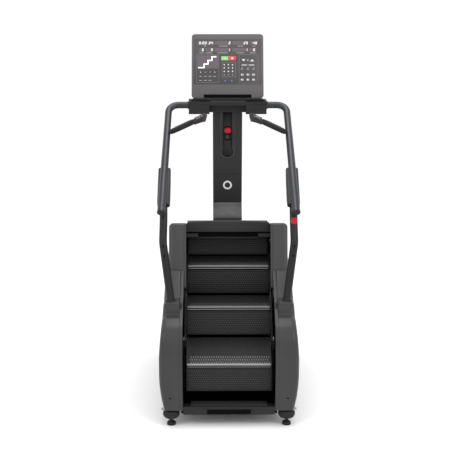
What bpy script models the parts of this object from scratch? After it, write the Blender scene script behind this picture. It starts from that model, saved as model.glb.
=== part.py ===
"""Stair climber: a gym machine with seven folding steps on two chains, side covers, mast, console and rails.

Metres, +Z up.  +X is the user's right, +Y points away from the user.  Places along Y are measured
from the front of the machine and an empty shifts everything so that the origin is under its middle.
"""
import math

import bmesh
import bpy
from mathutils import Matrix, Quaternion, Vector

# ---- driving dimensions ------------------------------------------------------------------------
MIDDLE_Y = 0.740            # from the front of the machine to the row origin

STEP_RISE = 0.2032
STEP_RUN = 0.246
STEP_HALF_WIDTH = 0.266
TREAD_THICK = 0.022
RISER_THICK = 0.006
RISER_LENGTH = 0.184
PITCH = math.hypot(STEP_RISE, STEP_RUN)
SLOPE = math.atan2(STEP_RISE, STEP_RUN)
SPROCKET_R = PITCH / math.pi
LOWER_SHAFT = Vector((0.400, 0.447))
UPPER_SHAFT = LOWER_SHAFT + 2.5 * PITCH * Vector((math.cos(SLOPE), math.sin(SLOPE)))

CHAIN_X = (0.270, 0.282)
PLATE_X = (0.294, 0.302)
COVER_INNER_X = 0.288
COVER_OUTER_X = 0.435
UPPER_OUTER_X = 0.386
COVER_WALL = 0.004
COVER_BOTTOM_Z = 0.102

BASE_RAIL_X = (0.294, 0.345)
BASE_RAIL_Z = (0.105, 0.165)
FOOT_X = 0.361
FOOT_FRONT_Y = 0.070
FOOT_REAR_Y = 2 * MIDDLE_Y - FOOT_FRONT_Y

BRAKE_AXIS = Vector((1.150, 0.450))
PULLEY_R = 0.110
BRAKE_PULLEY_R = 0.035
PULLEY_X = (0.312, 0.330)

MAST_HALF_X = 0.101
TRAY_HALF_X = 0.262
TRAY_Z = (1.840, 1.926)
TRAY_Y = (0.985, 1.160)
CONSOLE_FOOT = Vector((0.0, 1.060, 1.940))
CONSOLE_TILT = math.radians(11)
CONSOLE_HALF_X = 0.245
CONSOLE_HEIGHT = 0.434

RAIL_R = 0.0230
RAIL_END = Vector((0.420, 0.300, 1.307))
POST_R = 0.025
GRIP_FOOT = Vector((0.3997, 0.811, 1.733))
GRIP_TIP = Vector((0.1638, 0.6902, 1.8556))
POD_OUT = 0.2620
POD_ROLL = math.radians(35)

# ---- scene -------------------------------------------------------------------------------------
for old in list(bpy.data.objects):
    bpy.data.objects.remove(old)

parts = bpy.data.collections.new("stair_climber")
cutters = bpy.data.collections.new("cutters")
bpy.context.scene.collection.children.link(parts)
bpy.context.scene.collection.children.link(cutters)

origin = bpy.data.objects.new("row_origin", None)
origin.location = (0, -MIDDLE_Y, 0)
parts.objects.link(origin)


def material(name, colour, roughness, metallic=0.0):
    made = bpy.data.materials.new(name)
    made.use_nodes = True
    shader = made.node_tree.nodes["Principled BSDF"]
    shader.inputs["Base Color"].default_value = (*colour, 1)
    shader.inputs["Roughness"].default_value = roughness
    shader.inputs["Metallic"].default_value = metallic
    return made


SHELL = material("moulded_shell", (0.060, 0.060, 0.064), 0.45)
DARK = material("dark_plastic", (0.022, 0.022, 0.024), 0.55)
STEEL = material("painted_steel", (0.035, 0.035, 0.038), 0.40, 0.3)
BARE = material("bare_steel", (0.45, 0.45, 0.46), 0.35, 1.0)
RAIL = material("rail_coat", (0.085, 0.090, 0.098), 0.40, 0.2)
RUBBER = material("rubber", (0.015, 0.015, 0.016), 0.80)
CONSOLE = material("console_grey", (0.130, 0.128, 0.132), 0.50)
GLASS = material("display_glass", (0.030, 0.030, 0.034), 0.20)
RED = material("stop_red", (0.75, 0.02, 0.02), 0.35)
GREEN = material("start_green", (0.03, 0.45, 0.10), 0.35)


# ---- making pieces -----------------------------------------------------------------------------
def place(obj, look, cutter=False):
    """Put an object in its collection, under the row origin, with its material."""
    (cutters if cutter else parts).objects.link(obj)
    obj.parent = origin
    if cutter:
        obj.hide_render = True
        obj.display_type = "WIRE"
    else:
        obj.data.materials.append(look)
    return obj


def from_bmesh(name, shape, look, cutter=False, smooth=False):
    mesh = bpy.data.meshes.new(name)
    bmesh.ops.recalc_face_normals(shape, faces=shape.faces)
    shape.to_mesh(mesh)
    shape.free()
    if smooth:
        mesh.shade_smooth()
        mesh.set_sharp_from_angle(angle=math.radians(35))
    return place(bpy.data.objects.new(name, mesh), look, cutter)


def bevel(obj, width, segments=2, angle=30):
    if width:
        modifier = obj.modifiers.new("edges", "BEVEL")
        modifier.width = width
        modifier.segments = segments
        modifier.limit_method = "ANGLE"
        modifier.angle_limit = math.radians(angle)
    return obj


def block(name, low, high, look=None, round_by=0.0, cutter=False):
    """A box between two corners, its origin at its middle."""
    low, high = Vector(low), Vector(high)
    shape = bmesh.new()
    bmesh.ops.create_cube(shape, size=1)
    bmesh.ops.scale(shape, vec=high - low, verts=shape.verts)
    obj = from_bmesh(name, shape, look, cutter)
    obj.location = (low + high) / 2
    return bevel(obj, round_by)


def drum(name, axis_point, x0, x1, radius, look=None, cutter=False, sides=32, along="X"):
    """A cylinder along X (axis_point is Y, Z) or along Z (axis_point is X, Y)."""
    shape = bmesh.new()
    bmesh.ops.create_cone(shape, cap_ends=True, segments=sides, radius1=radius, radius2=radius,
                          depth=x1 - x0)
    obj = from_bmesh(name, shape, look, cutter, smooth=True)
    middle = (x0 + x1) / 2
    if along == "X":
        obj.location = (middle, *axis_point)
        obj.rotation_euler = (0, math.pi / 2, 0)
    else:
        obj.location = (*axis_point, middle)
    return obj


def rounded(points, radii, steps=5):
    """A closed outline with an arc at each corner; radii is one number or one for each corner."""
    made = []
    count = len(points)
    for i in range(count):
        radius = radii[i] if isinstance(radii, (list, tuple)) else radii
        before, here, after = (Vector(points[j % count]) for j in (i - 1, i, i + 1))
        into, out = (before - here).normalized(), (after - here).normalized()
        half = into.angle(out) / 2
        if radius <= 0 or half > math.radians(88):
            made.append(here)
            continue
        back = min(radius / math.tan(half), 0.48 * min((before - here).length, (after - here).length))
        radius = back * math.tan(half)
        centre = here + (into + out).normalized() * radius / math.sin(half)
        start, end = here + into * back - centre, here + out * back - centre
        turn = start.angle_signed(end)
        for k in range(steps + 1):
            made.append(centre + Matrix.Rotation(-turn * k / steps, 2) @ start)
    return made


def inset(points, distance):
    """The outline moved inward; points run counter-clockwise."""
    count = len(points)
    lines = []
    for i in range(count):
        a, b = Vector(points[i]), Vector(points[(i + 1) % count])
        normal = Vector((-(b - a).y, (b - a).x)).normalized()
        lines.append((a + normal * distance, (b - a).normalized()))
    made = []
    for i in range(count):
        (p, d), (q, e) = lines[i - 1], lines[i]
        cross = d.x * e.y - d.y * e.x
        along = ((q - p).x * e.y - (q - p).y * e.x) / cross
        made.append(p + d * along)
    return made


def curve_to_mesh(curve_obj, name, look, cutter=False, smooth=False):
    """Replace a curve object by the closed mesh it evaluates to."""
    bpy.context.view_layer.update()
    evaluated = curve_obj.evaluated_get(bpy.context.evaluated_depsgraph_get())
    mesh = bpy.data.meshes.new_from_object(evaluated)
    shape = bmesh.new()
    shape.from_mesh(mesh)
    bmesh.ops.remove_doubles(shape, verts=shape.verts, dist=0.00001)
    matrix = curve_obj.matrix_world.copy()
    bpy.data.objects.remove(curve_obj)
    obj = from_bmesh(name, shape, look, cutter, smooth)
    obj.matrix_world = matrix
    return obj


def side_outline(name, outlines, x0, x1, look=None, cutter=False, smooth=False, round_by=0.0):
    """Closed outlines in the Y, Z plane (the later ones are holes), as a plate from x0 to x1."""
    curve = bpy.data.curves.new(name + "_outline", "CURVE")
    curve.dimensions = "2D"
    curve.fill_mode = "BOTH"
    curve.extrude = (x1 - x0) / 2
    for points in outlines:
        spline = curve.splines.new("POLY")
        spline.points.add(len(points) - 1)
        for target, point in zip(spline.points, points):
            target.co = (point[0], point[1], 0, 1)
        spline.use_cyclic_u = True
    obj = bpy.data.objects.new(name + "_outline", curve)
    parts.objects.link(obj)
    obj.matrix_world = (Matrix.Translation(((x0 + x1) / 2, -MIDDLE_Y, 0))
                        @ Matrix.Rotation(math.pi / 2, 4, "Z") @ Matrix.Rotation(math.pi / 2, 4, "X"))
    return bevel(curve_to_mesh(obj, name, look, cutter, smooth), round_by)


def tube(name, points, radius, look=None, radii=None, cutter=False, resolution=3):
    """A round bar through the points, with flat ends."""
    curve = bpy.data.curves.new(name + "_path", "CURVE")
    curve.dimensions = "3D"
    curve.bevel_depth = radius
    curve.bevel_resolution = resolution
    curve.use_fill_caps = True
    spline = curve.splines.new("POLY")
    spline.points.add(len(points) - 1)
    for i, point in enumerate(points):
        spline.points[i].co = (*point, 1)
        spline.points[i].radius = radii[i] / radius if radii else 1
    obj = bpy.data.objects.new(name + "_path", curve)
    parts.objects.link(obj)
    obj.matrix_world = Matrix.Translation((0, -MIDDLE_Y, 0))
    return curve_to_mesh(obj, name, look, cutter, smooth=True)


def bent(points, radius, steps=6):
    """An open path with its inner corners turned into arcs of the given radius."""
    made = [Vector(points[0])]
    for i in range(1, len(points) - 1):
        before, here, after = (Vector(points[j]) for j in (i - 1, i, i + 1))
        into, out = (before - here).normalized(), (after - here).normalized()
        half = into.angle(out) / 2
        back = min(radius / math.tan(half), 0.48 * (before - here).length, 0.48 * (after - here).length)
        reach = back * math.tan(half)
        centre = here + (into + out).normalized() * reach / math.sin(half)
        start, end = here + into * back - centre, here + out * back - centre
        axis = start.cross(end)
        turn = start.angle(end)
        for k in range(steps + 1):
            made.append(centre + Matrix.Rotation(turn * k / steps, 3, axis) @ start)
    made.append(Vector(points[-1]))
    return made


def combine(obj, others, operation="DIFFERENCE"):
    """Cut the others out of obj, or join them to it."""
    for other in others:
        if operation == "UNION":
            parts.objects.unlink(other)
            cutters.objects.link(other)
            other.hide_render = True
            other.display_type = "WIRE"
        modifier = obj.modifiers.new("join" if operation == "UNION" else "cut", "BOOLEAN")
        modifier.operation = operation
        modifier.object = other
    return obj


def both_sides(make):
    """Make a piece on the right (+1) and on the left (-1)."""
    for side, word in ((1, "right"), (-1, "left")):
        make(side, word)


def x_span(side, low, high):
    return (low, high) if side > 0 else (-high, -low)


# ---- frame -------------------------------------------------------------------------------------
def base_frame():
    low, high = BASE_RAIL_Z
    extras = []
    for side in (1, -1):
        x0, x1 = x_span(side, *BASE_RAIL_X)
        extras.append(block("rail", (x0, 0.050, low), (x1, 1.420, high), STEEL))
        for y in (FOOT_FRONT_Y, FOOT_REAR_Y):
            x0, x1 = x_span(side, 0.335, FOOT_X + 0.022)
            extras.append(block("foot_tab", (x0, y - 0.014, low), (x1, y + 0.014, low + 0.020), STEEL))
        x0, x1 = x_span(side, 0.262, 0.270)
        extras.append(block("wheel_lug", (x0, 1.385, 0.030), (x1, 1.435, low + 0.010), STEEL))
        extras.append(drum("wheel_axle", (1.416, 0.046), *x_span(side, 0.222, 0.266), 0.006, STEEL, sides=16))
    extras.append(block("middle_cross", (-0.300, 0.720, low + 0.002), (0.300, 0.770, high - 0.020), STEEL))
    extras.append(block("rear_cross", (-0.300, 1.320, low + 0.002), (0.300, 1.400, high), STEEL))
    extras.append(block("brake_tab", (0.340, 1.090, low), (0.392, 1.210, high - 0.001), STEEL))
    frame = block("base_frame", (-0.300, 0.045, low - 0.002), (0.300, 0.095, low + 0.024), STEEL)
    combine(frame, extras, "UNION")


def side_frames():
    outline = [(0.060, 0.1656), (1.400, 0.1656), (1.410, 0.840), (1.300, 0.900), (1.290, 0.985), (0.620,
                                                                                                  1.140),
               (0.575, 1.140), (0.500, 0.880), (0.440, 0.860), (0.300, 0.740), (0.222, 0.735), (0.222, 0.640),
               (0.120, 0.600), (0.070, 0.520), (0.050, 0.440)]

    def make(side, word):
        holes = [ring_points(centre, radius, 24) for centre, radius in
                 ((LOWER_SHAFT, 0.0160), (UPPER_SHAFT, 0.0160), (BRAKE_AXIS, 0.0090))]
        plate = side_outline("side_frame_" + word, [outline] + holes, *x_span(side, *PLATE_X), STEEL)
        x0, x1 = x_span(side, PLATE_X[1] - 0.002, 0.392)
        combine(plate, [block("post_seat_" + word, (x0, 0.212, 0.574), (x1, 0.268, 0.600), STEEL)], "UNION")

    both_sides(make)


def ring_points(centre, radius, count, start=0.0):
    return [(centre[0] + radius * math.cos(start + 2 * math.pi * i / count),
             centre[1] + radius * math.sin(start + 2 * math.pi * i / count)) for i in range(count)]


def offset_path(path, distance):
    """A path in the Y, Z plane moved sideways (to the left of its direction)."""
    made = []
    for i, here in enumerate(path):
        here = Vector(here)
        into = (here - Vector(path[i - 1])).normalized() if i else None
        out = (Vector(path[i + 1]) - here).normalized() if i < len(path) - 1 else None
        into, out = into or out, out or into
        mean = (into + out).normalized()
        normal = Vector((-mean.y, mean.x))
        made.append(here + normal * distance / max(0.2, mean.dot(into)))
    return made


MAST_PATH = [(1.360, 0.1656), (1.360, 0.950), (1.268, 1.160), (1.210, 1.930), (1.210, 2.050)]


def hood_z(y):
    """Height of the hood's top surface."""
    return 1.169 - 0.2309 * (y - 0.715)


def mast():
    tube_path = MAST_PATH
    outer = offset_path(tube_path, 0.030) + list(reversed(offset_path(tube_path, -0.030)))
    steel = side_outline("mast", [outer], -0.040, 0.040, STEEL)
    longer = [(1.360, 0.100)] + tube_path[1:-1] + [(1.210, 2.100)]
    inner = offset_path(longer, 0.026) + list(reversed(offset_path(longer, -0.026)))
    combine(steel, [side_outline("mast_bore", [inner], -0.036, 0.036, cutter=True)])

    foot = hood_z(1.088) + 0.0008
    heel = hood_z(1.385) + 0.0008
    outline = [(1.088, foot), (1.385, heel), (1.385, heel + 0.030), (1.316, 1.200), (1.250, 1.890), (1.100,
                                                                                                     1.890),
               (1.165, 1.168), (1.088, foot + 0.006)]
    radii = [0.0, 0.0, 0.010, 0.030, 0.0, 0.0, 0.060, 0.002]
    cover = side_outline("mast_cover", [rounded(outline, radii)], -MAST_HALF_X, MAST_HALF_X, SHELL,
                         round_by=0.0)
    hollow = inset(outline, 0.004)
    hollow[0], hollow[1] = (1.096, foot - 0.020), (1.381, heel - 0.030)
    hollow[4], hollow[5] = (1.2445, 1.960), (1.1005, 1.960)
    cavity = side_outline("mast_cover_hollow", [hollow], -MAST_HALF_X + 0.004, MAST_HALF_X - 0.004,
                          cutter=True)
    combine(cover, [cavity])


def kick_plate():
    plate = block("kick_plate", (-0.286, 0.0320, 0.078), (0.286, 0.0440, 0.1290), STEEL)
    recess = block("kick_recess", (-0.132, 0.0200, 0.088), (0.132, 0.0380, 0.118), cutter=True)
    combine(plate, [recess])
    block("belly_pan", (-0.3000, 0.0450, 0.0830), (0.3000, 1.3400, 0.0850), STEEL)


# ---- covers ------------------------------------------------------------------------------------
LOWER_COVER = [(0.030, COVER_BOTTOM_Z), (1.430, COVER_BOTTOM_Z), (1.450, 0.500), (1.430, 0.860), (1.320,
                                                                                                  0.920),
               (0.460, 0.895), (0.290, 0.760), (0.205, 0.752), (0.207, 0.674), (0.165, 0.664), (0.095, 0.622),
               (0.048, 0.545), (0.030, 0.450)]
LOWER_COVER_RADII = [0.006, 0.006, 0.400, 0.080, 0.060, 0.030, 0.020, 0.006, 0.012, 0.060, 0.120, 0.150,
                     0.200]
UPPER_COVER = [(0.420, 0.720), (1.380, 0.720), (1.400, 0.900), (1.330, 1.005), (0.600, 1.176), (0.553, 1.180),
               (0.470, 0.880), (0.420, 0.800)]
UPPER_COVER_RADII = [0.0, 0.0, 0.050, 0.080, 0.020, 0.020, 0.020, 0.010]


def side_covers():
    def make(side, word):
        name = "side_cover_" + word
        cover = side_outline(name, [rounded(LOWER_COVER, LOWER_COVER_RADII)],
                             *x_span(side, COVER_INNER_X, COVER_OUTER_X), SHELL)
        upper = side_outline("upper_" + word, [rounded(UPPER_COVER, UPPER_COVER_RADII)],
                             *x_span(side, COVER_INNER_X + 0.0001, UPPER_OUTER_X), SHELL)
        combine(cover, [upper], "UNION")
        hollow = inset(LOWER_COVER, COVER_WALL)
        hollow[0] = (hollow[0][0], COVER_BOTTOM_Z - 0.050)
        hollow[1] = (hollow[1][0], COVER_BOTTOM_Z - 0.050)
        hollow_radii = [max(0.0, radius - COVER_WALL) for radius in LOWER_COVER_RADII]
        hollow_radii[0] = hollow_radii[1] = 0.0
        lower_cut = side_outline("lower_hollow_" + word, [rounded(hollow, hollow_radii)],
                                 *x_span(side, COVER_INNER_X - 0.020,
                                         COVER_OUTER_X - COVER_WALL), cutter=True)
        upper_radii = [max(0.0, radius - COVER_WALL) for radius in UPPER_COVER_RADII]
        upper_cut = side_outline("upper_hollow_" + word,
                                 [rounded(inset(UPPER_COVER, COVER_WALL), upper_radii)],
                                 *x_span(side, COVER_INNER_X - 0.021,
                                         UPPER_OUTER_X - COVER_WALL), cutter=True)
        post_hole = drum("post_hole_" + word, (side * 0.3665, 0.2415), 0.700, 0.800, 0.0295, cutter=True,
                         along="Z")
        combine(cover, [lower_cut, upper_cut, post_hole])

    both_sides(make)


def top_and_rear():
    path = [(0.702, 1.091), (0.702, 1.158), (0.715, 1.167), (1.395, hood_z(1.395) - 0.002)]
    outline = offset_path(path, 0.002) + list(reversed(offset_path(path, -0.002)))
    hood = side_outline("top_panel", [outline], -0.2868, 0.2868, DARK)
    combine(hood, [block("mast_hole", (-0.064, 1.235, 0.950), (0.064, 1.365, 1.200), cutter=True)])

    path = [(1.4425, 0.112), (1.4425, 0.860), (1.4250, 0.960), (1.3985, 1.0050)]
    outline = offset_path(path, 0.002) + list(reversed(offset_path(path, -0.002)))
    side_outline("rear_cover", [outline], -0.2868, 0.2868, SHELL)


# ---- feet and wheels ---------------------------------------------------------------------------
def turned(name, profile, location, look, rotation=(0, 0, 0), steps=32):
    """A profile of (radius, height) points spun about its own Z axis; it runs down its outer side."""
    shape = bmesh.new()
    ring = [shape.verts.new((radius, 0, height)) for radius, height in profile]
    for a, b in zip(ring, ring[1:]):
        shape.edges.new((a, b))
    mesh = bpy.data.meshes.new(name)
    shape.to_mesh(mesh)
    shape.free()
    obj = place(bpy.data.objects.new(name, mesh), look)
    obj.location = location
    obj.rotation_euler = rotation
    spin = obj.modifiers.new("turn", "SCREW")
    spin.steps = spin.render_steps = steps
    spin.use_merge_vertices = True
    spin.merge_threshold = 0.00001
    return obj


def feet():
    profile = [(0.0, 0.1040), (0.008, 0.1040), (0.008, 0.0980), (0.040, 0.0960), (0.0530, 0.0830), (0.0530,
                                                                                                    0.0640),
               (0.046, 0.0520), (0.030, 0.0440), (0.010, 0.0400), (0.010, 0.0240), (0.024, 0.0200), (0.028,
                                                                                                     0.0120),
               (0.028, 0.0), (0.0, 0.0)]
    for side, word in ((1, "right"), (-1, "left")):
        for y, end in ((FOOT_FRONT_Y, "front"), (FOOT_REAR_Y, "rear")):
            turned("levelling_foot_%s_%s" % (end, word), profile, (side * FOOT_X, y, 0), RUBBER, steps=24)


def transport_wheels():
    profile = [(0.0066, 0.012), (0.030, 0.012), (0.036, 0.008), (0.036, -0.008), (0.030, -0.012), (0.0066,
                                                                                                   -0.012),
               (0.0066, 0.012)]

    def make(side, word):
        turned("transport_wheel_" + word, profile, (side * 0.2450, 1.416, 0.046), RUBBER,
               rotation=(0, math.pi / 2, 0), steps=24)

    both_sides(make)


# ---- drive -------------------------------------------------------------------------------------
def stadium(radius):
    """The loop that a belt of this radius makes round both shafts."""
    made = []
    for centre, start in ((LOWER_SHAFT, SLOPE + math.pi / 2), (UPPER_SHAFT, SLOPE - math.pi / 2)):
        for k in range(13):
            angle = start + math.pi * k / 12
            made.append((centre.x + radius * math.cos(angle), centre.y + radius * math.sin(angle)))
    return made


def belt_loop(centre_a, radius_a, centre_b, radius_b):
    """The outline of a belt round two pulleys of unlike size; a is the larger."""
    line = centre_b - centre_a
    heading = math.atan2(line.y, line.x)
    lean = math.acos((radius_a - radius_b) / line.length)
    made = []
    for centre, radius, start, stop in ((centre_a, radius_a, heading + lean, heading + 2 * math.pi - lean),
                                        (centre_b, radius_b, heading - lean, heading + lean)):
        for k in range(17):
            angle = start + (stop - start) * k / 16
            made.append((centre.x + radius * math.cos(angle), centre.y + radius * math.sin(angle)))
    return made


def drive():
    def shaft(name, centre, right_end):
        extras = []
        for side in (1, -1):
            extras.append(drum("sprocket", centre, *x_span(side, 0.2725, 0.2795), 0.0940, BARE, sides=28))
        return drum(name, centre, -0.306, right_end, 0.015, BARE, sides=24), extras

    lower, discs = shaft("lower_shaft", LOWER_SHAFT, 0.306)
    combine(lower, discs, "UNION")
    upper, discs = shaft("upper_shaft", UPPER_SHAFT, 0.336)
    discs.append(drum("drive_pulley", UPPER_SHAFT, *PULLEY_X, PULLEY_R - 0.0025, BARE, sides=40))
    combine(upper, discs, "UNION")

    def chain(side, word):
        side_outline("chain_" + word, [stadium(SPROCKET_R + 0.005), stadium(SPROCKET_R - 0.005)],
                     *x_span(side, *CHAIN_X), BARE)

    both_sides(chain)
    side_outline("drive_belt", [belt_loop(UPPER_SHAFT, PULLEY_R + 0.002, BRAKE_AXIS, BRAKE_PULLEY_R + 0.002),
                                belt_loop(UPPER_SHAFT, PULLEY_R - 0.001, BRAKE_AXIS, BRAKE_PULLEY_R - 0.001)],
                 PULLEY_X[0] + 0.001, PULLEY_X[1] - 0.001, RUBBER)
    rotor = drum("brake_rotor", BRAKE_AXIS, 0.288, 0.3680, 0.008, BARE, sides=20)
    combine(rotor, [drum("small_pulley", BRAKE_AXIS, *PULLEY_X, BRAKE_PULLEY_R - 0.0022, BARE, sides=28),
                    drum("flywheel", BRAKE_AXIS, 0.336, 0.356, 0.100, BARE, sides=40)], "UNION")
    y, z = BRAKE_AXIS
    housing = side_outline("brake_housing",
                           [[(y - 0.056, 0.1656), (y + 0.056, 0.1656), (y + 0.056, z + 0.080),
                                              (y - 0.056, z + 0.080)], ring_points(BRAKE_AXIS, 0.0092, 20)],
                           0.361, 0.370, STEEL)
    combine(housing, [drum("stator", BRAKE_AXIS, 0.3695, 0.4050, 0.070, STEEL, sides=32)], "UNION")


# ---- steps -------------------------------------------------------------------------------------
# Each step: the place of its chain pin (Y, Z), its turn about X, and how far its riser folds inward.
UP_SLOPE = Vector((math.cos(SLOPE), math.sin(SLOPE)))
PIN_B = Vector((0.547, 0.700))
PIN_E = PIN_B + Vector((0.198, -0.100))
FIRST_WRAP = math.radians(25)
STEPS = {
    "1": (PIN_E - PITCH * UP_SLOPE, math.pi, 0.0),
    "2": (Vector((0.308, 0.491)), FIRST_WRAP, math.radians(-20)),
    "3": (PIN_B, 0.0, 0.0),
    "4": (PIN_B + PITCH * UP_SLOPE, 0.0, 0.0),
    "5": (Vector((1.059, 1.047)), math.radians(-13), 0.0),
    "6": (Vector((0.991, 0.803)), math.radians(206.4), math.radians(34)),
    "7": (PIN_E, math.pi, 0.0),
}


def step(number, pin, turn, fold):
    front = -STEP_RUN
    wall = 0.004
    profile = [(front, -TREAD_THICK), (front + wall, -TREAD_THICK), (front + wall, -wall), (-wall, -wall),
               (-wall, -TREAD_THICK), (0, -TREAD_THICK), (0, 0), (front, 0)]
    spin = Matrix.Rotation(turn, 2)
    tread = [pin + spin @ Vector(point) for point in profile]
    side_outline("tread_" + number, [tread], -STEP_HALF_WIDTH, STEP_HALF_WIDTH, DARK)
    hinge = Vector((front + 0.005, -TREAD_THICK - 0.004))
    panel = [(-RISER_THICK / 2, 0.0024), (-RISER_THICK / 2, TREAD_THICK - RISER_LENGTH),
             (RISER_THICK / 2, TREAD_THICK - RISER_LENGTH), (RISER_THICK / 2, 0.0024)]
    fold_spin = Matrix.Rotation(fold, 2)
    riser = [pin + spin @ (hinge + fold_spin @ Vector(point)) for point in panel]
    side_outline("riser_" + number, [riser], -STEP_HALF_WIDTH, STEP_HALF_WIDTH, DARK)


def steps():
    for number, (pin, turn, fold) in STEPS.items():
        step(number, pin, turn, fold)


# ---- handrails ---------------------------------------------------------------------------------
def mirrored(point, side):
    return Vector((side * point[0], point[1], point[2]))


RAIL_CORNER = Vector((0.396, 1.010, 1.899))


def rail_path(side):
    return bent([mirrored(p, side) for p in ((TRAY_HALF_X + 0.0006, 1.010, 1.899), RAIL_CORNER, RAIL_END)],
                0.085, 7)


def rail_radii(path):
    """The rail swells toward its free end."""
    return [RAIL_R + (0.0045 if i == len(path) - 1 else 0.0) for i in range(len(path))]


POST_PATH = [(0.3625, 0.240, 0.6006), (0.3665, 0.2415, 0.770), (0.412, 0.300, 1.117), (0.409, 0.360, 1.250),
             (0.4125, 0.478, 1.425)]


def handrails():
    rail_vector = (RAIL_END - RAIL_CORNER)
    along = -Vector((rail_vector.y, rail_vector.z)).normalized()
    below = Vector((along.y, -along.x))
    end = Vector((RAIL_END.y, RAIL_END.z))

    def on_rail(distance, offset):
        return end + along * distance + below * offset

    def make(side, word):
        path = rail_path(side)
        tube("handrail_" + word, path, RAIL_R, RAIL, rail_radii(path), resolution=4)
        clear = [radius + 0.0006 for radius in rail_radii(path)]

        def rail_cut(tag):
            return tube("rail_cut_%s_%s" % (tag, word), path, clear[0], radii=clear, cutter=True,
                        resolution=4)

        post_points = bent([mirrored(p, side) for p in POST_PATH], 0.120, 5)
        post = tube("rail_post_" + word, post_points, POST_R, STEEL)
        combine(post, [rail_cut("post")])

        outline = [on_rail(0.075, 0.016), on_rail(0.085, 0.058), on_rail(0.160, 0.092), on_rail(0.300, 0.074),
                   on_rail(0.375, 0.030), on_rail(0.375, 0.016)]
        x0, x1 = x_span(side, 0.3700, 0.4500)
        shroud = side_outline("rail_shroud_" + word, [outline], x0, x1, SHELL, round_by=0.006)
        last, before = post_points[-1], post_points[-2]
        socket_points = post_points[:-1] + [last + (last - before).normalized() * 0.004]
        socket = tube("post_cut_" + word, socket_points, POST_R + 0.0010, cutter=True)
        combine(shroud, [socket, rail_cut("shroud")])

        foot, tip = mirrored(GRIP_FOOT, side), mirrored(GRIP_TIP, side)
        ahead = (tip - foot).normalized()
        stations = ((0.0, 0.012), (0.045, 0.012), (0.047, 0.0190), (0.208, 0.0190), (0.220, 0.0160))
        grip = tube("hand_grip_" + word, [foot + ahead * s for s, _ in stations], 0.0190, RUBBER,
                    [r for _, r in stations])
        combine(grip, [rail_cut("grip")])

        facing = ahead.to_track_quat("X", "Z") @ Quaternion((1, 0, 0), -side * POD_ROLL)

        def pod_block(name, low, high, look=None, cutter=False, round_by=0.0):
            obj = block(name, low, high, look, round_by, cutter)
            obj.location = foot + ahead * POD_OUT + facing @ obj.location
            obj.rotation_euler = facing.to_euler()
            return obj

        pod = pod_block("control_pod_" + word, (-0.0394, -0.026, -0.013), (0.040, 0.026, 0.011), DARK,
                        round_by=0.004)
        combine(pod,
                [pod_block("pod_pocket_" + word, (-0.0190, -0.012, 0.003), (0.0190, 0.012, 0.030),
                           cutter=True)])
        pod_block("speed_rocker_" + word, (-0.0170, -0.010, 0.0055), (0.0170, 0.010, 0.0135), CONSOLE)

    both_sides(make)


# ---- tray, console and stops -------------------------------------------------------------------
def console_tray():
    low, high = TRAY_Z
    tray = block("console_tray", (-TRAY_HALF_X, TRAY_Y[0], low), (TRAY_HALF_X, TRAY_Y[1], high), DARK)
    cuts = [block("mast_notch", (-0.122, 0.900, low - 0.100), (0.122, 1.300, high - 0.030), cutter=True)]
    for side in (1, -1):
        x0, x1 = x_span(side, 0.136, TRAY_HALF_X - 0.010)
        cuts.append(block("bin", (x0, TRAY_Y[0] + 0.010, low + 0.010), (x1, TRAY_Y[1] - 0.060, high + 0.050),
                          cutter=True))
    combine(tray, cuts)


def console():
    tilt = bpy.data.objects.new("console_tilt", None)
    parts.objects.link(tilt)
    tilt.parent = origin
    tilt.location = CONSOLE_FOOT
    tilt.rotation_euler = (-CONSOLE_TILT, 0, 0)

    def tilted(name, low, high, look=None, round_by=0.0, cutter=False):
        obj = block(name, low, high, look, round_by, cutter)
        obj.parent = tilt
        return obj

    half = CONSOLE_HALF_X
    top = CONSOLE_HEIGHT
    bezel = tilted("console_bezel", (-half, 0, 0), (half, 0.014, top), CONSOLE, 0.004)
    combine(bezel,
            [tilted("display_pocket", (-0.2260, -0.010, 0.0935), (0.2260, 0.0052, 0.4010), cutter=True)])
    panel = tilted("display_panel", (-0.2254, 0.0006, 0.0941), (0.2254, 0.0048, 0.4004), GLASS)
    keys = (("start_key", -0.0190, GREEN), ("stop_key", 0.0310, RED))
    key_z = 0.2697
    key_half_x = 0.0236
    key_half_z = 0.0134
    cuts = [tilted("pocket_" + name, (x - key_half_x - 0.0006, -0.010, key_z - key_half_z - 0.0006),
                   (x + key_half_x + 0.0006, 0.0040, key_z + key_half_z + 0.0006),
                   cutter=True) for name, x, _ in keys]
    combine(panel, cuts)
    for name, x, look in keys:
        tilted(name, (x - key_half_x, -0.0012, key_z - key_half_z), (x + key_half_x, 0.0020,
                                                                     key_z + key_half_z), look)
    back = tilted("console_back", (-half + 0.002, 0.0146, 0.004), (half - 0.002, 0.0560, top - 0.004), SHELL,
                  0.006)
    combine(back,
            [tilted("console_hollow", (-half + 0.006, -0.010, 0.008), (half - 0.006, 0.0520, top - 0.008),
                          cutter=True)])
    tilted("console_bracket", (-0.050, 0.0566, 0.020), (0.050, 0.0980, 0.100), STEEL)


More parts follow.
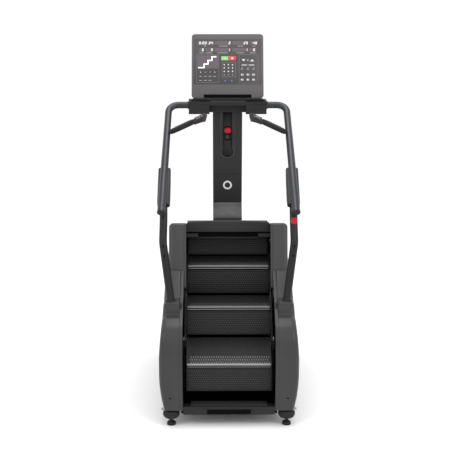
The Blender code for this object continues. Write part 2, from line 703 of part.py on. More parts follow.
def stops():
    front = 1.1080
    case = block("estop_box", (-0.019, front - 0.034, 1.650), (0.019, front, 1.742), DARK, 0.003)
    head = [(0.0, 0.020), (0.012, 0.019), (0.020, 0.013), (0.022, 0.007), (0.020, 0.0), (0.010, 0.0),
            (0.010, -0.012), (0.0, -0.012)]
    turned("estop_button", head, (0, front - 0.0400, 1.719), RED, rotation=(math.pi / 2, 0, 0), steps=28)
    bore = drum("estop_bore", (0, 0), -0.0160, 0.0160, 0.0104, cutter=True, sides=28, along="Z")
    bore.location = (0, front - 0.034, 1.719)
    bore.rotation_euler = (math.pi / 2, 0, 0)
    combine(case, [bore])
    cap = [(0.0, 0.014), (0.018, 0.013), (0.0215, 0.010), (0.0215, 0.0), (0.0, 0.0)]
    turned("rail_stop_button", cap, (0.4095, 0.3262, 1.2482), RED, rotation=(math.radians(66), 0, 0),
           steps=28)


base_frame()
side_frames()
mast()
kick_plate()
side_covers()
top_and_rear()
feet()
transport_wheels()
drive()
steps()
handrails()
console_tray()
console()
stops()
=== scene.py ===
"""Looks of the stair climber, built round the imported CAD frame. Metres, in the frame's own axes."""
import math

import bmesh
import bpy
from mathutils import Matrix, Vector


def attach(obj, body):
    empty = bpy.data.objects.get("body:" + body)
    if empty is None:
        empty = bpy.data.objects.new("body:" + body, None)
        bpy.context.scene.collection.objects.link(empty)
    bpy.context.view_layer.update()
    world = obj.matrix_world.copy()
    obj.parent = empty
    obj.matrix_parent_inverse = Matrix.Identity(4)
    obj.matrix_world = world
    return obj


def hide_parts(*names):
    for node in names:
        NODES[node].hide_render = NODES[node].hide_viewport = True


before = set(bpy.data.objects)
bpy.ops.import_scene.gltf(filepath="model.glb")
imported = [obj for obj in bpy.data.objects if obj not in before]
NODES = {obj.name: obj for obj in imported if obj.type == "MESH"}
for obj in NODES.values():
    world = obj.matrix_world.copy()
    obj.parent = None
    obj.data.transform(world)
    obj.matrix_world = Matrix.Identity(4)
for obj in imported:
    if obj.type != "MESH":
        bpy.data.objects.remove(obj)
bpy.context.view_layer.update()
MIDDLE_Y = 0.74            # from the machine's front to the frame's origin
SIDES = ((1, "right"), (-1, "left"))
MERGE = 0.00002             # points nearer than this are one
SOFT_ANGLE = math.radians(32)


# ---- materials ----
def grey(value, warm=0.0):
    return (value * (1 + warm), value, value * (1 - warm))


def opaque(colour, gain=1.0, lift=0.0):
    return (*(min(1.0, channel * gain + lift) for channel in colour), 1)


def feed(tree, made, **inputs):
    """Set a node's inputs, or link those that are given another node's output; _ stands for a space."""
    for name, value in inputs.items():
        socket = made.inputs[name.replace("_", " ")]
        if isinstance(value, bpy.types.NodeSocket):
            tree.links.new(value, socket)
        else:
            socket.default_value = value


def node(tree, kind, output, **inputs):
    """The named output of a new shader node."""
    made = tree.nodes.new("ShaderNode" + kind)
    if kind == "Mix":
        made.data_type = "RGBA"
    feed(tree, made, **inputs)
    return made.outputs[output]


def blank(name):
    made = bpy.data.materials.new(name)
    made.use_nodes = True
    return made, made.node_tree, made.node_tree.nodes["Principled BSDF"]


def finish(name, colour, roughness, grain=900.0, bump=0.06, mottling=0.12, metallic=0.0, coat=0.0, edge=0.25,
           specular=0.5):
    """A procedural finish: fine grain in the bump, slow variation in colour and roughness, paler worn edges."""
    made, tree, shader = blank(name)
    place = node(tree, "TexCoord", "Object")
    cloud = node(tree, "TexNoise", "Fac", Vector=place, Scale=7.0, Detail=5.0)
    fine = node(tree, "TexNoise", "Fac", Vector=place, Scale=grain, Detail=2.0)
    tint = node(tree, "Mix", "Result", Factor=cloud, A=opaque(colour, 1 - mottling), B=opaque(colour, 1 + mottling))
    point = node(tree, "NewGeometry", "Pointiness")
    worn = node(tree, "MapRange", "Result", Value=point, From_Min=0.52, From_Max=0.62, To_Max=edge)
    feed(tree, shader, Metallic=metallic, Coat_Weight=coat, Specular_IOR_Level=specular,
         Base_Color=node(tree, "Mix", "Result", Factor=worn, A=tint, B=opaque(colour, 1.8, 0.02)),
         Roughness=node(tree, "MapRange", "Result", Value=fine, To_Min=max(0.05, roughness - 0.07),
                        To_Max=min(1.0, roughness + 0.07)),
         Normal=node(tree, "Bump", "Normal", Height=fine, Strength=bump, Distance=0.001))
    return made


def glow(name, colour, strength):
    """A lit mark's finish."""
    made, tree, shader = blank(name)
    spread = node(tree, "TexNoise", "Fac", Vector=node(tree, "TexCoord", "Object"), Scale=120.0)
    feed(tree, shader, Roughness=0.4, Emission_Color=opaque(colour), Emission_Strength=strength,
         Base_Color=node(tree, "Mix", "Result", Factor=spread, A=opaque(colour, 0.85), B=opaque(colour)))
    return made


SHELL = finish("moulded_shell", grey(0.03, 0.01), 0.4, bump=0.1, specular=0.3)
SHELL_LIGHT = finish("moulded_shell_light", grey(0.042, 0.01), 0.4, bump=0.1, specular=0.34)
SHELL_DARK = finish("moulded_shell_dark", grey(0.021, 0.01), 0.46, bump=0.1, specular=0.24)
DARK = finish("dark_plastic", grey(0.014), 0.5, bump=0.1, specular=0.2)
BLACK = finish("deep_black", grey(0.003), 0.7, bump=0.05, specular=0.04, edge=0.0)
STEEL = finish("powder_coat", grey(0.012), 0.4, grain=1400.0, bump=0.14, metallic=0.1, specular=0.24)
BARE = finish("machined_steel", grey(0.42), 0.34, grain=500.0, metallic=1.0, mottling=0.08)
STEP = finish("step_black", grey(0.013), 0.45, grain=700.0, bump=0.12, metallic=0.1, specular=0.14)
STUD = finish("riser_stud", grey(0.032), 0.38, grain=700.0, bump=0.08, specular=0.3)
TOOTH = finish("tread_teeth", grey(0.046), 0.38, grain=700.0, bump=0.08, specular=0.35)
NOSE = finish("nose_strip", grey(0.16), 0.36, grain=600.0, metallic=0.6, mottling=0.1, specular=0.3)
RAIL = finish("rail_coat", (0.027, 0.029, 0.033), 0.3, grain=1200.0, bump=0.1, metallic=0.25, specular=0.34)
RUBBER = finish("rubber", grey(0.01), 0.66, grain=800.0, bump=0.25, edge=0.15, specular=0.3)
CONSOLE = finish("console_grey", (0.092, 0.086, 0.089), 0.5, bump=0.1, edge=0.1, specular=0.3)
FACE = finish("console_face", (0.06, 0.055, 0.058), 0.38, bump=0.04, edge=0.05, specular=0.25)
WINDOW = finish("display_window", (0.112, 0.097, 0.106), 0.3, bump=0.03, edge=0.0, specular=0.2)
PRINT = finish("print_white", grey(0.56), 0.5, bump=0.03, mottling=0.05, edge=0.0)
PRINT_DIM = finish("print_grey", grey(0.26), 0.5, bump=0.03, mottling=0.05, edge=0.0)
MARK = finish("badge_white", grey(0.72), 0.45, bump=0.03, mottling=0.04, edge=0.0)
APRON = finish("mast_apron_grey", grey(0.078, 0.01), 0.38, bump=0.08, specular=0.45)
RED = finish("stop_red", (0.42, 0.003, 0.008), 0.36, bump=0.04, mottling=0.1, edge=0.1, coat=0.05, specular=0.25)
KEY_RED = finish("key_red", (0.7, 0.035, 0.06), 0.38, bump=0.03, mottling=0.06, edge=0.05)
KEY_GREEN = finish("key_green", (0.2, 0.52, 0.16), 0.38, bump=0.03, mottling=0.06, edge=0.05)
KEY_MARK = finish("button_mark", (0.3, 0.004, 0.006), 0.4, bump=0.03, mottling=0.05, edge=0.0)
DIGIT = glow("lit_digit", (0.95, 0.93, 0.93), 0.55)
BLUE = glow("lit_blue", (0.08, 0.22, 0.62), 0.4)
RED_LAMP = glow("lit_red", (0.95, 0.12, 0.12), 0.8)


# ---- making pieces ----
def settle(obj, look, replaced=(), body="root"):
    """Give a finished piece its material and the body that it rides on."""
    obj.data.materials.clear()
    obj.data.materials.append(look)
    if replaced:
        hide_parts(*replaced)
    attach(obj, body)


def from_bmesh(name, shape, smooth_angle=35):
    """An object made of the shape, smooth up to smooth_angle degrees."""
    mesh = bpy.data.meshes.new(name)
    bmesh.ops.remove_doubles(shape, verts=shape.verts, dist=MERGE)
    bmesh.ops.recalc_face_normals(shape, faces=shape.faces)
    shape.to_mesh(mesh)
    shape.free()
    mesh.shade_smooth()
    mesh.set_sharp_from_angle(angle=math.radians(smooth_angle))
    obj = bpy.data.objects.new(name, mesh)
    bpy.context.scene.collection.objects.link(obj)
    return obj


def soften(obj, width, segments):
    """Round the sharp edges by width."""
    modifier = obj.modifiers.new("soft_edges", "BEVEL")
    modifier.width = width
    modifier.segments = segments
    modifier.limit_method = "ANGLE"
    modifier.angle_limit = SOFT_ANGLE


def add_box(shape, low, high, matrix=None):
    """A plain box between two opposite corners."""
    made = bmesh.ops.create_cube(shape, size=1)["verts"]
    low, high = Vector(low), Vector(high)
    bmesh.ops.scale(shape, vec=high - low, verts=made)
    bmesh.ops.translate(shape, vec=(low + high) / 2, verts=made)
    if matrix:
        bmesh.ops.transform(shape, matrix=matrix, verts=made)


def add_drum(shape, centre, axis, radius, depth, sides=24, tip=None):
    """A short cylinder round an axis, or a cone frustum when tip gives its far radius."""
    made = bmesh.ops.create_cone(shape, cap_ends=True, segments=sides, radius1=radius,
                                 radius2=radius if tip is None else tip, depth=depth)["verts"]
    turn = Vector(axis).to_track_quat("Z", "Y").to_matrix().to_4x4()
    bmesh.ops.transform(shape, matrix=Matrix.Translation(centre) @ turn, verts=made)


def at(x, y, z):
    """A place with Y counted from the machine's front."""
    return Vector((x, y - MIDDLE_Y, z))


def blocks(name, boxes, look, width=0.0, segments=3, matrix=None, body="root", replaced=(), drums=()):
    """A piece of boxes (x0, y0, z0, x1, y1, z1), in matrix's axes or from the machine's front, and of drums."""
    shape = bmesh.new()
    for box in boxes:
        if matrix:
            add_box(shape, box[:3], box[3:], matrix)
        else:
            add_box(shape, at(*box[:3]), at(*box[3:]))
    for drum in drums:
        add_drum(shape, *drum)
    made = from_bmesh(name, shape)
    if width:
        soften(made, width, segments)
    settle(made, look, replaced, body)


def arc(before, here, after, reach):
    """The centre and both ends of an arc at the corner here; reach is its radius, cut where the sides are short."""
    into, out = (before - here).normalized(), (after - here).normalized()
    half = into.angle(out) / 2
    back = min(reach / max(0.02, math.tan(half)), 0.48 * (before - here).length, 0.48 * (after - here).length)
    centre = here + (into + out).normalized() * back * math.tan(half) / math.sin(half)
    return centre, here + into * back - centre, here + out * back - centre


def pair(x, half, y0, z0, y1, z1):
    """Boxes for blocks, one on each side, x out from the middle and half to each side of that."""
    return [(side * x - half, y0, z0, side * x + half, y1, z1) for side, _ in SIDES]


def neighbours(points):
    """Each point of a closed outline, between the one before it and the one after."""
    count = len(points)
    return [[Vector(points[j % count]) for j in (i - 1, i, i + 1)] for i in range(count)]


def rounded(points, radii, steps=6):
    """A closed outline with an arc at each corner, always steps + 1 points to a corner."""
    made = []
    for radius, corner in zip(radii, neighbours(points)):
        centre, start, end = arc(*corner, max(0.0004, radius))
        turn = start.angle_signed(end)
        made += [centre + Matrix.Rotation(-turn * k / steps, 2) @ start for k in range(steps + 1)]
    return made


def inset(points, distance):
    """The outline moved inward by a distance; points run counter-clockwise."""
    made = []
    for before, here, after in neighbours(points):
        into, out = (here - before).normalized().orthogonal(), (after - here).normalized().orthogonal()
        made.append(here + (into + out) * distance / (1 + into.dot(out)))
    return made


def section(outline, radii, distance, steps=6):
    """The outline moved inward by a distance, with its corners rounded."""
    sizes = []
    for radius, (before, here, after) in zip(radii, neighbours(outline)):
        hollow = (here - before).cross(after - here) < 0
        sizes.append(radius + distance if hollow else max(0.0006, radius - distance))
    return rounded(inset(outline, distance) if distance else outline, sizes, steps)


def quarter(edge, steps):
    """Pairs (rise, inset) along a quarter round of radius edge, from its side to its top."""
    turns = [math.pi / 2 * k / steps for k in range(steps + 1)]
    return [(edge * math.sin(turn), edge * (1 - math.cos(turn))) for turn in turns]


def add_layers(shape, layers, cap_first=True, cap_last=True):
    """Skin between closed rings of equal length, closed at its ends where asked."""
    rings = [[shape.verts.new(point) for point in ring] for ring in layers]
    count = len(rings[0])
    for a, b in zip(rings, rings[1:]):
        for i in range(count):
            j = (i + 1) % count
            shape.faces.new((a[i], a[j], b[j], b[i]))
    if cap_first:
        shape.faces.new(list(reversed(rings[0])))
    if cap_last:
        shape.faces.new(rings[-1])


def layered(name, layers, cap_first=True, cap_last=True):
    shape = bmesh.new()
    add_layers(shape, layers, cap_first, cap_last)
    return from_bmesh(name, shape)


def add_grid(shape, rows):
    """Skin between open rows of equal length."""
    rows = [[shape.verts.new(point) for point in row] for row in rows]
    for a, b in zip(rows, rows[1:]):
        for i in range(len(a) - 1):
            shape.faces.new((a[i], b[i], b[i + 1], a[i + 1]))


def hoop(name, place, sections, count, look, body="root"):
    """A flat ring of sections (radius, out); place turns (turn, radius, out) into a point."""
    layers = [[place(2 * math.pi * k / count, *at_section) for k in range(count)] for at_section in sections]
    settle(layered(name, layers + layers[:1], False, False), look, body=body)


def walled(name, shape, thickness, offset, smooth_angle=35):
    """An open skin given a thickness."""
    made = from_bmesh(name, shape, smooth_angle)
    wall = made.modifiers.new("wall", "SOLIDIFY")
    wall.thickness = thickness
    wall.offset = offset
    return made


def tube(name, points, radius, radii=None, resolution=8):
    """A smooth round bar with flat capped ends."""
    curve = bpy.data.curves.new(name, "CURVE")
    curve.dimensions = "3D"
    curve.bevel_depth = radius
    curve.bevel_resolution = resolution
    curve.use_fill_caps = True
    spline = curve.splines.new("POLY")
    spline.points.add(len(points) - 1)
    for i, point in enumerate(points):
        spline.points[i].co = (*point, 1)
        spline.points[i].radius = radii[i] / radius if radii else 1
    source = bpy.data.objects.new(name, curve)
    bpy.context.scene.collection.objects.link(source)
    bpy.context.view_layer.update()
    mesh = bpy.data.meshes.new_from_object(source.evaluated_get(bpy.context.evaluated_depsgraph_get()))
    bpy.data.objects.remove(source)
    shape = bmesh.new()
    shape.from_mesh(mesh)
    return from_bmesh(name, shape, 40)


def bent(points, radius, steps=12):
    """An open path with its inner corners turned into arcs."""
    made = [Vector(points[0])]
    for corner in neighbours(points)[1:-1]:
        centre, start, end = arc(*corner, radius)
        axis, turn = start.cross(end), start.angle(end)
        made += [centre + Matrix.Rotation(turn * k / steps, 3, axis) @ start for k in range(steps + 1)]
    made.append(Vector(points[-1]))
    return made


# ---- side covers ----
INNER_X = 0.288
LOWER_X = 0.3095            # where the lower cover's own skin starts
OUTER_X = 0.435
BARREL_SLICES = (0.13, 0.16, 0.19, 0.22, 0.25, 0.28, 0.31, 0.34, 0.46, 0.52, 0.58, 0.64, 0.7, 0.76, 0.8)
LOWER_COVER = [(0.03, 0.102), (1.43, 0.102), (1.45, 0.5), (1.43, 0.86), (1.32, 0.92), (0.46, 0.895),
               (0.29, 0.76), (0.205, 0.752), (0.207, 0.674), (0.165, 0.664), (0.095, 0.622), (0.048, 0.545),
               (0.03, 0.45)]
LOWER_RADII = [0.006, 0.04, 0.5, 0.08, 0.06, 0.06, 0.03, 0.008, 0.016, 0.06, 0.12, 0.15, 0.22]
UPPER_COVER = [(0.42, 0.72), (1.38, 0.72), (1.4, 0.9), (1.33, 1.005), (0.6, 1.176), (0.553, 1.18),
               (0.47, 0.88), (0.42, 0.8)]
UPPER_RADII = [0.006, 0.03, 0.06, 0.08, 0.03, 0.016, 0.02, 0.01]
FLANGE = [(0.4215, 0.79), (0.43, 0.784), (0.4795, 0.876), (0.5615, 1.168), (0.6, 1.16), (0.6015, 1.1755),
          (0.553, 1.1795), (0.47, 0.88)]
BAND = [(0.0295, 0.1025), (0.42, 0.1025), (0.6, 0.6), (0.6, 0.89), (0.472, 0.89), (0.166, 0.668),
        (0.094, 0.6235), (0.047, 0.546), (0.0295, 0.45)]
BAND_RADII = [0.006, 0.01, 0.01, 0.01, 0.04, 0.05, 0.12, 0.15, 0.22]


def pillow(name, outline, radii, side, inner, outer, edge):
    """A cover skin: a rim round the outline from the inner plane out, rounded by edge into a flat side face."""
    stations = [(inner + 0.016, 0.004), (inner, 0.004), (inner, 0.0009), (inner + 0.0009, 0.0)]
    stations += [(outer - edge + rise, distance) for rise, distance in quarter(edge, 7)]
    layers = [[at(side * x, y, z) for y, z in section(outline, radii, distance)] for x, distance in stations]
    return layered(name, layers, cap_first=False)


def barrel(cover, side):
    """Draw the lower cover's side in toward its top and foot."""
    sliced = bmesh.new()
    sliced.from_mesh(cover.data)
    for z in BARREL_SLICES:
        everything = sliced.verts[:] + sliced.edges[:] + sliced.faces[:]
        bmesh.ops.bisect_plane(sliced, geom=everything, dist=0.0002, plane_co=(0, 0, z), plane_no=(0, 0, 1))
    sliced.to_mesh(cover.data)
    sliced.free()
    for vertex in cover.data.vertices:
        reach, z = (side * vertex.co.x - LOWER_X) / (OUTER_X - LOWER_X), vertex.co.z
        up = min(1.0, max(0.0, (z - 0.4) / 0.42))
        draw = 0.03 * max(0.0, (0.34 - z) / 0.24) ** 2 + 0.026 * up * up * (3 - 2 * up)
        vertex.co.x -= side * draw * max(0.0, reach)


def side_covers():
    """Lower and upper bodies, flange, band, plug and screws."""
    for side, word in SIDES:
        lower = pillow("side_cover_shell_" + word, LOWER_COVER, LOWER_RADII, side, LOWER_X, OUTER_X, 0.034)
        barrel(lower, side)
        settle(lower, SHELL, ["side_cover_" + word])
        for kind, outline, radii, inner, outer, edge, look in (
                ("top_", UPPER_COVER, UPPER_RADII, INNER_X + 0.0004, 0.386, 0.028, SHELL_LIGHT),
                ("flange_", FLANGE, [0.004] * len(FLANGE), 0.2735, 0.2884, 0.003, SHELL_LIGHT),
                ("band_", BAND, BAND_RADII, INNER_X, 0.3105, 0.004, SHELL)):
            settle(pillow("side_cover_" + kind + word, outline, radii, side, inner, outer, edge), look)
        x = side * 0.366
        blocks("cover_plug_" + word, [(x - 0.009, 0.0292, 0.1825, x + 0.009, 0.0315, 0.1895)], BLACK,
               0.001)
        blocks("cover_screws_" + word, (), STEEL, drums=[
            (at(side * (OUTER_X - 0.0002 - drawn), y, z), (side, 0, 0), 0.0075, 0.0016, 20, 0.0062)
            for y, z, drawn in ((0.14, 0.33, 0), (0.7, 0.33, 0), (1.3, 0.33, 0), (1.36, 0.78, 0.0238),
                                (0.52, 0.8, 0.0253))])


# ---- steps ----
RUN = 0.246
RISE = 0.2032
PITCH = math.hypot(RISE, RUN)
SLOPE = Vector((RUN, RISE)).normalized()
HALF_WIDTH = 0.266
TREAD_THICK = 0.022
RISER_LENGTH = 0.184
RIDGES, TEETH = 38, 36
STUD_COLUMNS, STUD_ROWS = 34, 9


def step_frames():
    """Each step's chain pin (Y, Z), its turn about X and its riser's fold."""
    middle = Vector((0.547, 0.7))           # step 3's pin; the returning side runs parallel to the rising one
    under = middle + Vector((0.198, -0.1))
    return {"1": (under - PITCH * SLOPE, math.pi, 0.0),
            "2": (Vector((0.308, 0.491)), math.radians(25), math.radians(-20)),
            "3": (middle, 0.0, 0.0), "4": (middle + PITCH * SLOPE, 0.0, 0.0),
            "5": (Vector((1.059, 1.047)), math.radians(-13), 0.0),
            "6": (Vector((0.991, 0.803)), math.radians(206.4), math.radians(34)), "7": (under, math.pi, 0.0)}


def tread_boards(place):
    """Grooved boards, each ridged on top and closed below."""
    shape = bmesh.new()
    half = HALF_WIDTH - 0.012
    pitch = 2 * half / RIDGES
    outline = [(-half, -0.005)]
    for i in range(RIDGES):
        x = -half + i * pitch
        outline += [(x, -0.003), (x + pitch * 0.2, -0.003), (x + pitch * 0.3, -0.0002), (x + pitch * 0.7, -0.0002),
                    (x + pitch * 0.8, -0.003)]
    outline += [(half, -0.003), (half, -0.005)]
    for ends in ((-RUN + 0.013, -0.165), (-0.158, -0.088), (-0.081, -0.01)):
        add_layers(shape, [[place @ Vector((x, y, height)) for x, height in outline] for y in ends])
    return shape


def tread(number, place):
    """The tread: boards in a plain border, two bright nose strips and rows of teeth behind the upper one."""
    wide, deep, body = HALF_WIDTH, TREAD_THICK, "step_" + number
    boards = from_bmesh("tread_boards_" + number, tread_boards(place), 20)
    settle(boards, STEP, ["tread_" + number], body)
    bars = [(-wide + 0.009, y - 0.009, -0.0052, wide - 0.009, y, -0.002) for y in (-0.157, -0.08)]
    blocks("tread_frame_" + number, [
        (-wide, -RUN, -deep, wide, -RUN + 0.004, -0.0004), (-wide, -RUN + 0.003, -0.0056, wide, -0.001, -0.004),
        (-wide, -0.0045, -deep, wide, 0, -0.0004), (-wide, -RUN, -deep, -wide + 0.01, 0, -0.0002),
        (wide - 0.01, -RUN, -deep, wide, 0, -0.0002)] + bars, STEP, 0.0012, 2, place, body)
    half = wide - 0.004
    blocks("tread_nose_" + number, [(-half, -RUN - 0.0012, -0.01, half, -RUN + 0.0105, 0.0006),
                                    (-half, -RUN - 0.0012, -deep - 0.0008, half, -RUN + 0.003, -deep + 0.0046)],
           NOSE, 0.0012, 2, place, body)
    teeth = []
    for k in range(1, TEETH):
        for row in range(3):
            x = -0.25 + 0.5 * k / (TEETH - 1) - (0.0071 if row % 2 else 0.0)
            y = -RUN + 0.012 + 0.023 * row
            teeth.append((x - 0.0034, y, -0.005, x + 0.0034, y + 0.017, 0.0004))
    blocks("tread_teeth_" + number, teeth, TOOTH, matrix=place, body=body)


def riser(number, place, fold):
    """The riser: a framed panel with rows of small studs, hung on hinge knuckles under the nose."""
    hinge = place @ Matrix.Translation((0, -RUN + 0.005, -TREAD_THICK - 0.004)) @ Matrix.Rotation(fold, 4, "X")
    wide, low, body = HALF_WIDTH, TREAD_THICK - RISER_LENGTH, "step_" + number
    blocks("riser_panel_" + number, [
        (-wide + 0.002, -0.0018, low, wide - 0.002, 0.003, -0.004), (-wide, -0.003, low, wide, 0.0028, low + 0.008),
        (-wide, -0.003, -0.013, wide, 0.0028, -0.003), (-wide, -0.003, low, -wide + 0.007, 0.0028, -0.003),
        (wide - 0.007, -0.003, low, wide, 0.0028, -0.003)], STEP, 0.0009, 2, hinge, body,
        ["riser_" + number], [(hinge @ Vector((x, 0.0002, 0.0004)), (1, 0, 0), 0.003, 0.034, 12)
                              for x in (-0.225, -0.078, 0.078, 0.225)])
    studs = bmesh.new()
    ahead = hinge.to_3x3() @ Vector((0, -1, 0))
    for column in range(STUD_COLUMNS):
        for row in range(STUD_ROWS):
            x = -0.244 + 0.488 * (column + (0.25 if row % 2 else -0.25)) / (STUD_COLUMNS - 1)
            z = -0.024 + (low + 0.044) * row / (STUD_ROWS - 1)
            add_drum(studs, hinge @ Vector((x, -0.0021, z)), ahead, 0.0046, 0.0022, 6, 0.003)
    settle(from_bmesh("riser_studs_" + number, studs, 20), STUD, body=body)


def steps():
    for number, (pin, turn, fold) in step_frames().items():
        place = Matrix.Translation(at(0, *pin)) @ Matrix.Rotation(turn, 4, "X")
        tread(number, place)
        riser(number, place, fold)


# ---- nodes kept from the frame ----
KEPT = (                    # look, width of the softened edges, nodes
    (STEEL, 0.003, "base_frame mast"), (STEEL, 0.002, "console_bracket"),
    (STEEL, 0.0, "side_frame_left side_frame_right brake_housing chain_left chain_right"),
    (BLACK, 0.0, "belly_pan"), (BLACK, 0.002, "estop_box"), (SHELL, 0.0012, "rear_cover"),
    (BARE, 0.0, "lower_shaft upper_shaft brake_rotor"),
    (RUBBER, 0.0, "drive_belt transport_wheel_left transport_wheel_right"),
    (DARK, 0.0012, "control_pod_left control_pod_right"), (CONSOLE, 0.0015, "speed_rocker_left speed_rocker_right"),
    (RED, 0.0, "estop_button rail_stop_button"), (KEY_GREEN, 0.001, "start_key"), (KEY_RED, 0.001, "stop_key"))


def keep_nodes():
    """The frame's own solids that stay in sight, given a look and softer edges."""
    for look, width, names in KEPT:
        for obj in map(NODES.get, names.split()):
            obj.data.materials.clear()
            obj.data.materials.append(look)
            if width:
                obj.modifiers.new("weld", "WELD").merge_threshold = MERGE
                soften(obj, width, 2)


# ---- base and feet ----
FOOT_PROFILE = [(0.0085, 0.104), (0.0085, 0.0985), (0.036, 0.0968), (0.046, 0.0925), (0.0515, 0.085), (0.0525, 0.076),
                (0.052, 0.066), (0.048, 0.057), (0.04, 0.05), (0.028, 0.0455), (0.011, 0.043), (0.0105, 0.026),
                (0.017, 0.024), (0.024, 0.02), (0.0275, 0.014), (0.028, 0.002), (0.027, 0.0)]
FOOT_POINTS = 96
FOOT_X, FEET_Y = 0.361, ((0.07, "front"), (1.41, "rear"))


def base_details():
    """Kick plate, bolts, sill, the pan's raised edges and the covers' tabs."""
    plate = [(-0.286, 0.032, 0.078, 0.286, 0.044, 0.129), (-0.15, 0.0295, 0.0785, -0.136, 0.036, 0.12),
             (0.136, 0.0295, 0.0785, 0.15, 0.036, 0.12), (-0.15, 0.0295, 0.113, 0.15, 0.036, 0.1215)]
    blocks("kick_plate_face", plate, DARK, 0.0022, replaced=["kick_plate"])
    blocks("kick_recess", [(-0.137, 0.0312, 0.08, 0.137, 0.033, 0.1135)], BLACK)
    bolts = []
    for x in (-0.205, 0.205):
        bolts += [(at(x, 0.03, 0.103), (0, -1, 0), 0.0085, 0.004, 24, 0.006),
                  (at(x, 0.0312, 0.103), (0, -1, 0), 0.0115, 0.0012, 24)]
    blocks("kick_bolts", (), STEEL, drums=bolts)
    blocks("base_sill", [(-0.24, 0.046, 0.1292, 0.24, 0.118, 0.136), (-0.24, 0.112, 0.11, 0.24, 0.118, 0.136)],
           SHELL_DARK, 0.002)
    blocks("belly_pan_edges", pair(0.2965, 0.002, 0.046, 0.0852, 1.34, 0.106), BLACK)
    blocks("cover_tabs", pair(0.407, 0.017, 0.055, 0.0975, 0.1, 0.1005), BARE, 0.001)


def feet():
    """A levelling pad on a stem with a large ribbed knob."""
    for side, word in SIDES:
        for y, end in FEET_Y:
            layers = []
            for radius, height in FOOT_PROFILE:
                ring = []
                for k in range(FOOT_POINTS):
                    groove = 0.05 < height < 0.095 and k % 4 in (0, 1)
                    reach, turn = radius * (0.965 if groove else 1.0), 2 * math.pi * k / FOOT_POINTS
                    ring.append(at(side * FOOT_X + reach * math.cos(turn), y + reach * math.sin(turn), height))
                layers.append(ring)
            name = "foot_%s_%s" % (end, word)
            foot = layered("levelling_%s_detail" % name, layers)
            settle(foot, RUBBER, ["levelling_" + name], name)


# ---- hood and mast ----
HOOD_HALF, HOOD_TOP, HOOD_FALL = 0.2862, 1.169, 0.2309
HOOD_BACK, MAST_BACK, HOOD_END = 1.235, 1.365, 1.395   # the mast stands between the first two


def hood_z(y):
    """Height of the hood's top at a distance from the machine's front."""
    return HOOD_TOP - HOOD_FALL * (y - 0.715)


def hood():
    """The panel across the top: a front lip with rounded ends, a gently crowned top and a black sheet in the slot
    below, painted shade for the dark inside under the hood.
    """
    low, corner, count = 1.091, 0.036, 40
    shape = bmesh.new()
    grid = []
    for k in range(count + 1):
        x = -HOOD_HALF + 2 * HOOD_HALF * k / count
        short = max(0.0, corner - (HOOD_HALF - abs(x)))
        drop = corner - math.sqrt(max(0.0, corner ** 2 - short ** 2))
        top = HOOD_TOP - drop - 0.01 * (x / HOOD_HALF) ** 2
        path = [(0.706, low + 0.004), (0.7012, low + 0.0012), (0.7, low + 0.004), (0.7, top - 0.012),
                (0.7016, top - 0.006), (0.706, top - 0.0016), (0.714, top)]
        path += [(y, hood_z(y) - drop) for y in (0.9, 1.1, HOOD_BACK)]
        grid.append([at(x, y, z) for y, z in path])
    add_grid(shape, grid)
    for x0, x1, y0, y1 in ((-HOOD_HALF, -0.064, HOOD_BACK, MAST_BACK), (0.064, HOOD_HALF, HOOD_BACK, MAST_BACK),
                           (-HOOD_HALF, HOOD_HALF, MAST_BACK, HOOD_END)):
        shape.faces.new([shape.verts.new(at(x, y, hood_z(y))) for x, y in ((x0, y0), (x1, y0), (x1, y1), (x0, y1))])
    settle(walled("hood_skin", shape, 0.003, -1, 40), SHELL_DARK, ["top_panel"])
    # painted shade: a thin black sheet fills the slot under the hood, where the inside lies in shade
    blocks("hood_slot_painted_shade", [(-HOOD_HALF, 0.724, 1.047, HOOD_HALF, 0.73, 1.094)], BLACK, 0.002)
    tabs = pair(0.24, 0.04, 0.712, 1.052, 0.7245, 1.079) + [(-0.201, 0.716, 1.047, 0.201, 0.7245, 1.054)]
    blocks("hood_slot_tabs", tabs, SHELL_DARK, 0.003)


MAST_HALF, MAST_TOP, MAST_LOW = 0.101, 1.89, 1.168
MAST_TOP_Y, MAST_LOW_Y = 1.1, 1.165
BADGE_Z, SEAM_Z = 1.324, 1.403


def mast_front(z):
    """Y of the mast cover's front face at a height."""
    return MAST_TOP_Y + (MAST_TOP - z) * (MAST_LOW_Y - MAST_TOP_Y) / (MAST_TOP - MAST_LOW)


def mast_cover():
    """The cover, the pale apron at its foot and a seam."""
    foot, heel, edge = hood_z(1.088) + 0.0008, hood_z(1.385) + 0.0008, 0.007
    outline = [(1.088, foot), (1.385, heel), (1.385, heel + 0.03), (1.316, 1.2), (1.25, MAST_TOP),
               (MAST_TOP_Y, MAST_TOP), (MAST_LOW_Y, MAST_LOW), (1.092, foot + 0.012)]
    radii = [0.001, 0.001, 0.012, 0.04, 0.004, 0.004, 0.05, 0.002]
    round_off = [(MAST_HALF - edge + rise, distance) for rise, distance in quarter(edge, 6)]
    stations = [(-x, distance) for x, distance in reversed(round_off)] + round_off
    layers = [[at(x, y, z) for y, z in section(outline, radii, distance, 7)] for x, distance in stations]
    settle(layered("mast_cover_skin", layers), SHELL_DARK, ["mast_cover"])

    apron = bmesh.new()
    add_grid(apron, [[at(x, y - 0.0022, z + 0.001) for y, z in (
        (1.1632, 1.196), (1.1655, 1.18), (1.16, 1.163), (1.147, 1.146), (1.0925, foot + 0.014))]
        for x in (-0.0985, 0.0985)])
    settle(walled("mast_apron", apron, 0.0015, 0, 60), APRON)

    y = mast_front(SEAM_Z)
    blocks("mast_seam", [(-0.094, y - 0.0004, SEAM_Z - 0.0008, 0.094, y + 0.002, SEAM_Z + 0.0008)], BLACK)


